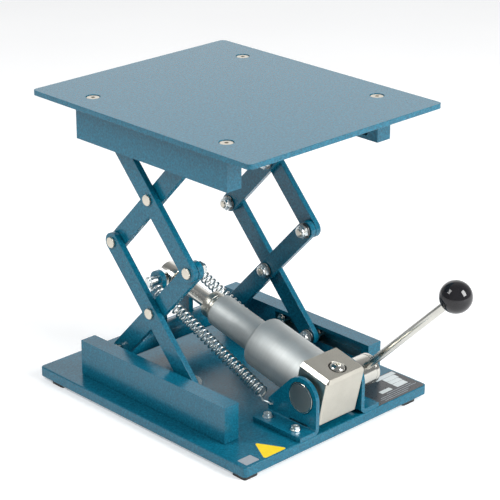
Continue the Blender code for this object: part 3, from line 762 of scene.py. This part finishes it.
def make_brackets():
    pivot = joint_mm("cylinder_tilt")
    for side in (LEFT, RIGHT):
        node = f"bracket_{SIDE_NAMES[side]}"
        low, high = box_mm(node)
        outline = bracket_outline(pivot, low, high)
        bore = circle(pivot.y, pivot.z - low.z, 12.6, 64)
        slit = rounded_rectangle(pivot.y - 7.8, pivot.y + 11.7, 1.8, 5.4, 0.5, 4)
        bm = bmesh.new()
        fill_outline(bm, 0.0, outline, [bore, slit])
        radius = BRACKET_BEND + BRACKET_T
        for i in range(FOLD_STEPS + 1):
            z = radius - radius * 0.9 * (math.pi / 2.0) * i / FOLD_STEPS
            everything = bm.verts[:] + bm.edges[:] + bm.faces[:]
            bmesh.ops.bisect_plane(bm, geom=everything, plane_co=(0, 0, z), plane_no=(0, 0, 1))
        grown = bmesh.ops.extrude_face_region(bm, geom=bm.faces[:])
        for vert in [v for v in grown["geom"] if isinstance(v, bmesh.types.BMVert)]:
            vert.co.x = BRACKET_T
        flat = high.x - low.x
        for vert in bm.verts:
            height = vert.co.z
            if height < 1.0 - BLANK_FOOT:
                height = radius - radius * 0.9 * math.pi / 2.0 - (flat - radius)
            vert.co = fold_point(vert.co.y, height, vert.co.x, side, low, high)
        piece = put("angle_" + node, to_mesh(bm), PAINT, "base", stands_for=[node])
        soften(piece, 0.5, 3, 50.0)
        make_bracket_screws(side, pivot, low)


def make_bracket_screws(side, pivot, low):
    """Hexagon screws with a washer face, through the bracket's foot."""
    rings = [(0.0, 3.9), (0.5, 3.9), (0.5, 3.5, 3.05), (2.7, 3.5, 3.05), (3.1, 3.0, 3.0), (3.1, 2.0), (2.7, 1.5), (2.7, 0.3)]
    mesh = turned(rings, 60, smooth_angle=22.0)
    for i, y in enumerate((pivot.y + 26.0, pivot.y - 3.4)):
        spot = Matrix.Translation((side * 35.4, y, low.z + BRACKET_T + 0.1)) @ UP @ Matrix.Rotation(0.35 + i, 4, "X")
        put(f"bracket_screw_{SIDE_NAMES[side]}_{i}", mesh, ZINC, "base", parent=spot)


# ---------------------------------------------------------------- hydraulic unit

AXIS = Vector(JOINTS["ram"]["axis"])
TILT = math.atan2(AXIS.z, AXIS.y)
TRUNNION = joint_mm("cylinder_tilt")
UNIT = Matrix.Translation(TRUNNION) @ Matrix.Rotation(TILT, 4, "X")
ALONG = Matrix.Rotation(math.radians(90.0), 4, "Z")  # lays a turned piece's own X along the unit's axis
YOKE_REACH = (centre_mm("yoke_pin").yz - TRUNNION.yz).length


def block_mesh():
    """A block with its top edges chamfered and its front corners cut off."""
    side, front, back, bottom, top = 20.6, -17.5, 12.0, -17.5, 23.0
    inset, drop, lead, corner = 2.7, 3.4, 1.2, 1.5
    bm = bmesh.new()
    cut = front + corner
    low = [(corner - side, front), (side - corner, front), (side, cut), (side, back), (-side, back), (-side, cut)]
    far, edge, nick = side - inset, front + lead, 0.4
    near, bend = far - nick, edge + nick
    high = [(-near, edge), (near, edge), (far, bend), (far, back), (-far, back), (-far, bend)]
    rows = []
    for points, z in ((low, bottom), (low, top - drop), (high, top)):
        rows.append([bm.verts.new((x, u, z)) for x, u in points])
    for a, b in zip(rows, rows[1:]):
        wall(bm, a, b)
    bm.faces.new(rows[0])
    bm.faces.new(rows[-1])
    return to_mesh(bm)


def pocket(piece, radius, depth_z, top_z, u):
    """Cuts a round pocket into the top of a piece of the unit."""
    cutter = put("pocket_tool", turned([(depth_z, radius), (top_z, radius)], 64), ZINC, "cylinder",
                 parent=UNIT @ Matrix.Translation((0.0, u, 0.0)) @ UP)
    modifier = piece.modifiers.new("pocket", "BOOLEAN")
    modifier.operation = "DIFFERENCE"
    modifier.solver = "EXACT"
    modifier.object = cutter
    apply_modifiers(piece)
    bpy.data.objects.remove(cutter)


def apply_modifiers(piece):
    graph = bpy.context.evaluated_depsgraph_get()
    mesh = bpy.data.meshes.new_from_object(piece.evaluated_get(graph))
    piece.modifiers.clear()
    piece.data = mesh


def make_block():
    block = put("pump_body", block_mesh(), NICKEL, "cylinder", parent=UNIT, stands_for=["pump_block"])
    pocket(block, 7.0, 21.9, 25.0, -7.0)
    soften(block, 0.45, 3, 12.0)
    rings = eased([(21.9, 1.0), (21.9, 6.0), (22.9, 6.1), (24.2, 5.2), (25.2, 3.5), (25.4, 2.6)], 0.5, 4)
    rings += [(25.4, 2.3, 2.0), (23.6, 2.3, 2.0)]
    put("filler_cap", turned(rings, 60), STEEL, "cylinder",
        parent=UNIT @ Matrix.Translation((0.0, -7.0, 0.0)) @ UP, stands_for=["filler_screw"])
    # Near-black ring at the bottom of the counterbore round the filler cap: painted shade in the recess.
    ring = turned(eased([(21.95, 6.2), (22.3, 6.2), (22.3, 6.9), (21.95, 6.9)], 0.1), 64, closed=True)
    put("filler_shade_ring", ring, RUBBER, "cylinder", parent=UNIT @ Matrix.Translation((0.0, -7.0, 0.0)) @ UP)


def make_tubes():
    """The reservoir over the pump end of the cylinder tube, and the gland that closes the tube."""
    reservoir = [(12.3, 18.5), (12.3, 21.0), (68.9, 21.0), (69.0, 13.8), (65.0, 13.8), (65.0, 18.5)]
    shape = [(12.3, 18.5), (12.3, 20.6), (12.7, 21.0), (66.8, 21.0)]
    shape += [(66.8 + 2.2 * math.sin(a), 18.8 + 2.2 * math.cos(a)) for a in (0.4, 0.8, 1.2, math.pi / 2.0)]
    shape += reservoir[3:]
    put("reservoir", turned(shape, 96, closed=True), ALUMINIUM, "cylinder", parent=UNIT @ ALONG,
        stands_for=["reservoir_tube"])
    tube_rings = [(12.3, 9.5), (12.3, 13.5), (119.0, 13.5), (119.0, 9.5)]
    put("cylinder_barrel", turned(eased(tube_rings, 2.2, 5), 96, closed=True), ALUMINIUM, "cylinder",
        parent=UNIT @ ALONG, stands_for=["cylinder_tube"])
    gland = [(109.3, 6.7), (109.3, 9.2), (119.3, 9.2), (119.3, 12.0), (120.4, 12.0), (120.5, 10.4), (121.0, 10.4)]
    gland += [(121.0, 11.2), (123.2, 11.2), (123.3, 10.9), (123.6, 10.9), (123.7, 11.2), (129.0, 11.2), (129.0, 7.6)]
    gland += [(128.4, 6.7)]
    put("gland_nut", turned(eased(gland, 0.35, 3), 96, closed=True), NICKEL, "cylinder",
        parent=UNIT @ ALONG, stands_for=["gland"])


def make_rod():
    """The ram with its necked head, whose open seat takes the yoke pin."""
    rings = [(62.0, 0.6), (62.0, 9.2), (74.0, 9.2), (74.0, 6.4), (165.2, 6.4), (165.2, 4.6), (168.5, 4.6)]
    rings += [(168.5, 9.0), (183.5, 9.0), (183.5, 0.6)]
    rod = put("ram_rod", turned(eased(rings, 0.6, 4), 96), STEEL, "rod", parent=UNIT @ ALONG,
              stands_for=["piston_rod"])
    u, v = YOKE_REACH - 0.8, -0.65
    seat = arc(u, v, 6.2, 90, 270, 24) + [(u + 20.0, v - 6.2), (u + 20.0, v + 6.2)]
    cutter = put("seat_tool", slab(seat, -14.0, 14.0), ZINC, "rod", parent=UNIT)
    modifier = rod.modifiers.new("seat", "BOOLEAN")
    modifier.operation = "DIFFERENCE"
    modifier.solver = "EXACT"
    modifier.object = cutter
    apply_modifiers(rod)
    bpy.data.objects.remove(cutter)
    rod.data.set_sharp_from_angle(angle=math.radians(32.0))


def make_trunnion():
    low, high = box_mm("trunnion_pin")
    half = (high.z - low.z) / 2.0
    rim = eased([(high.x, 0.6), (high.x, 6.0), (-20.3, 6.0), (-20.3, half), (low.x, half), (low.x, half - 1.1)], 0.45, 3)
    put("trunnion_body", turned(rim + [(low.x + 0.25, half - 1.2)], 96), STEEL, "cylinder",
        parent=Matrix.Translation((0.0, TRUNNION.y, TRUNNION.z)), stands_for=["trunnion_pin"])
    face = turned([(low.x + 0.6, half - 1.15), (low.x + 0.12, half - 1.15), (low.x + 0.1, 0.5)], 96)
    put("trunnion_face", face, DISC, "cylinder", parent=Matrix.Translation((0.0, TRUNNION.y, TRUNNION.z)))


def make_lever():
    """Turned hub, straight rod and ball. The rod leaves the hub at right angles."""
    hub_low, hub_high = box_mm("lever_hub")
    low, high = box_mm("ball_knob")
    radius = (high.x - low.x) / 2.0
    knob = Vector((low.x + radius, low.y + radius, high.z - radius))
    centre = Matrix.Translation((0.0, TRUNNION.y, TRUNNION.z))
    r = (hub_high.z - hub_low.z) / 2.0
    rings = [(hub_low.x, 0.6), (hub_low.x, 6.0), (20.3, 6.0), (20.3, r), (44.6, r), (44.6, r - 0.35), (45.3, r - 0.35)]
    rings += [(45.3, r), (hub_high.x, r), (hub_high.x, r - 3.4), (hub_high.x - 0.5, r - 3.8), (hub_high.x - 0.5, 0.4)]
    put("hub", turned(eased(rings, 0.6, 4), 96), STEEL, "lever", parent=centre, stands_for=["lever_hub"])
    run = Vector((0.0, knob.y - TRUNNION.y, knob.z - TRUNNION.z))
    lever = Matrix.Translation((knob.x, TRUNNION.y, TRUNNION.z)) @ Matrix.Rotation(math.atan2(run.z, run.y), 4, "X") @ ALONG
    reach = run.length
    rod = [(6.0, 0.6), (6.0, 3.25), (reach - 6.0, 3.25), (reach - 6.0, 0.6)]
    put("lever_shaft", turned(eased(rod, 0.4), 64), STEEL, "lever", parent=lever, stands_for=["lever_rod"])
    start = math.asin(4.6 / radius)
    steps = 40
    angles = [math.pi - start - (math.pi - start) * i / steps for i in range(steps + 1)]
    ball = [(reach + radius * math.cos(a), max(0.15, radius * math.sin(a))) for a in angles]
    neck = [(reach - radius + 4.0, 3.4), (reach - radius + 0.6, 3.45), (reach - radius + 0.75, 4.2)]
    put("knob", turned(neck + ball, 96), BALL, "lever", parent=lever, stands_for=["ball_knob"])


# ---------------------------------------------------------------- return springs

COIL_R, WIRE_R = 4.25, 0.78
COIL_TURNS = 30
COIL_STEPS = 18


def spring_path(side, low, high):
    """Hook at the bracket, coils, and a hook round the yoke pin."""
    axis = (high - low).normalized()
    across = Vector((1.0, 0.0, 0.0))
    normal = axis.cross(across)
    length = (high - low).length
    start, end = 9.5, length - 9.0
    points = []
    out = side * 3.4
    for i in range(9):
        angle = math.radians(-60.0 + 150.0 * i / 8)
        points.append(low + across * (out * math.sin(angle)) - axis * (2.3 * math.cos(angle)))
    points.append(low + across * out + axis * 2.5 + normal * 0.7)
    points.append(low + across * (out * 1.25) + axis * 5.4 + normal * 2.0)
    points.append(low + across * side * COIL_R + axis * (start - 1.6) + normal * 0.5)
    total = COIL_TURNS * COIL_STEPS
    for i in range(total + 1):
        t = i / total
        angle = 2.0 * math.pi * COIL_TURNS * t
        ring = across * (side * math.cos(angle)) + normal * math.sin(angle)
        points.append(low + axis * (start + (end - start) * t) + ring * COIL_R)
    points.append(low + axis * (end + 1.5) + across * side * COIL_R * 0.8 + normal * 1.2)
    points.append(low + axis * (end + 3.0) + across * side * COIL_R * 0.3 + normal * 2.2)
    loop_r = 4.15
    for i in range(17):
        angle = math.radians(150.0 - 330.0 * i / 16)
        points.append(high + (axis * math.cos(angle) + normal * math.sin(angle)) * loop_r + across * side * 0.05 * i)
    return points


def make_springs():
    pin = centre_mm("yoke_pin")
    heel = box_mm("bracket_right")[1]
    for side in (LEFT, RIGHT):
        name = f"return_spring_{SIDE_NAMES[side]}"
        low = Vector((side * 25.0, heel.y - 2.5, 22.0))
        high = Vector((side * 23.8, pin.y, pin.z))
        mesh = tube(spring_path(side, low, high), WIRE_R)
        spring = bpy.data.objects.new("coil_" + name, mesh)
        bpy.context.scene.collection.objects.link(spring)
        mesh.materials.append(ZINC)
        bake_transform(spring)
        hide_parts(name)


# ---------------------------------------------------------------- labels


def film(name, outline, material, thickness=0.15, height=0.0):
    top = box_mm("base_plate")[1].z + height
    piece = put(name, flat_slab(outline, top + 0.02, top + thickness), material, "base")
    return piece


def make_labels():
    """Blank generic films: a yellow triangle, a small grey tag and a dark plate with empty fields."""
    low, high = box_mm("base_plate")
    middle = (low.y + high.y) / 2.0
    corners = [Vector((-67.2, middle - 95.2)), Vector((-79.0, middle - 117.2)), Vector((-55.2, middle - 117.2))]
    centre = sum(corners, Vector((0.0, 0.0))) / 3.0
    outline = []
    for corner in corners:
        heading = math.degrees(math.atan2(corner.y - centre.y, corner.x - centre.x))
        inner = corner + (centre - corner).normalized() * 3.0
        outline += arc(inner.x, inner.y, 1.5, heading - 60, heading + 60, 6)
    film("yellow_triangle", outline, YELLOW)
    film("grey_tag", rounded_rectangle(-95.6, -82.5, middle - 115.8, middle - 106.0, 0.8), GREY_FILM)
    film("rating_plate", rounded_rectangle(35.0, 98.0, middle - 118.2, middle - 83.4, 2.5), PLATE_FILM)
    fields = ((74.0, 96.6, -89.0, -84.4), (79.6, 93.6, -94.8, -89.4), (79.2, 92.2, -100.0, -95.2),
              (79.0, 91.6, -106.4, -100.5), (61.3, 73.5, -106.4, -102.2))
    for i, (x0, x1, y0, y1) in enumerate(fields):
        outline = rounded_rectangle(x0, x1, middle + y0, middle + y1, 0.4)
        film(f"plate_field_{i}", outline, FIELD_FILM, 0.12, 0.15)
    lines = ((64.0, 92.0, -108.9), (54.0, 95.5, -111.4), (52.0, 84.0, -113.7), (54.5, 81.0, -115.9))
    for i, (x0, x1, y) in enumerate(lines):
        outline = rounded_rectangle(x0, x1, middle + y, middle + y + 0.55, 0.2)
        film(f"plate_line_{i}", outline, GREY_FILM, 0.12, 0.15)


# ---------------------------------------------------------------- stage


def area_light(name, place, target, size, power, colour=(1.0, 1.0, 1.0)):
    data = bpy.data.lights.new(name, "AREA")
    data.shape = "RECTANGLE"
    data.size, data.size_y = size
    data.energy = power
    data.color = colour
    light = bpy.data.objects.new(name, data)
    bpy.context.scene.collection.objects.link(light)
    light.location = place
    light.rotation_euler = (Vector(target) - Vector(place)).to_track_quat("-Z", "Y").to_euler()
    return light


def make_camera():
    """The camera looks down on the left front corner, along azimuth -43.7 and elevation 22.2 degrees."""
    middle = (cad_bounds[0][1] + cad_bounds[1][1]) / 2.0 + 0.04370
    azimuth, elevation, distance = math.radians(-43.73), math.radians(22.17), 1.46613
    level = math.cos(elevation)
    back = Vector((math.sin(azimuth) * level, -math.cos(azimuth) * level, math.sin(elevation)))
    target = Vector((0.0, middle, 0.11919))
    data = bpy.data.cameras.new("camera")
    data.sensor_width = 36.0
    data.lens = 136.02
    data.shift_x = 0.0371
    data.shift_y = -0.0015
    camera = bpy.data.objects.new("camera", data)
    bpy.context.scene.collection.objects.link(camera)
    camera.location = target + back * distance
    camera.rotation_euler = (-back).to_track_quat("-Z", "Y").to_euler()
    bpy.context.scene.camera = camera


def make_floor():
    bm = bmesh.new()
    bmesh.ops.create_circle(bm, cap_ends=True, segments=96, radius=9000.0)
    mesh = to_mesh(bm)
    floor = bpy.data.objects.new("floor", mesh)
    bpy.context.scene.collection.objects.link(floor)
    paper = Shader("floor_paper", (0.86, 0.86, 0.86), 0.75, Specular_IOR_Level=0.2, Emission_Color=(1.0, 1.0, 1.0, 1.0),
                   Emission_Strength=0.28)
    grain = paper.noise(6.0, 3.0)
    paper.colour(paper.mix(paper.spread(grain, 0.3, 0.7), (0.85, 0.85, 0.85), (0.87, 0.87, 0.87)))
    mesh.materials.append(paper.material)


def make_world():
    """A dim studio with one broad bright wall, beyond the jack as the camera sees it."""
    world = bpy.data.worlds.new("studio")
    bpy.context.scene.world = world
    world.use_nodes = True
    tree = world.node_tree
    sky = tree.nodes["Background"]
    coordinates = tree.nodes.new("ShaderNodeTexCoord")
    facing = tree.nodes.new("ShaderNodeVectorMath")
    facing.operation = "DOT_PRODUCT"
    facing.inputs[1].default_value = Vector((0.69, 0.72, 0.10)).normalized()
    ramp = tree.nodes.new("ShaderNodeValToRGB")
    tree.links.new(coordinates.outputs["Generated"], facing.inputs[0])
    tree.links.new(facing.outputs["Value"], ramp.inputs["Fac"])
    stops = ramp.color_ramp.elements
    stops[0].position, stops[0].color = 0.25, (0.13, 0.135, 0.14, 1.0)
    stops[1].position, stops[1].color = 0.94, (0.71, 0.71, 0.71, 1.0)
    stop = stops.new(0.80)
    stop.color = (0.30, 0.30, 0.30, 1.0)
    sky.inputs["Strength"].default_value = 1.9
    tree.links.new(ramp.outputs["Color"], sky.inputs["Color"])


def make_lights():
    area_light("left_softbox", (-1.25, 0.55, 1.45), (0.0, 0.04, 0.12), (0.75, 0.9), 20.0)
    area_light("front_softbox", (0.48, -1.43, 1.04), (0.0, 0.04, 0.12), (0.7, 1.0), 38.0)


def main():
    make_camera()
    make_plates()
    make_platform_screws()
    make_rails()
    make_feet()
    make_arms()
    make_scissor_bolts()
    make_axles()
    make_rollers()
    make_travel_stops()
    make_yoke()
    make_brackets()
    make_block()
    make_tubes()
    make_rod()
    make_trunnion()
    make_lever()
    make_springs()
    make_labels()
    make_floor()
    make_world()
    make_lights()
    bpy.context.scene.view_settings.view_transform = "Standard"


NUT = nut_mesh()
WASHER = washer_mesh()
main()

bpy.context.view_layer.update()
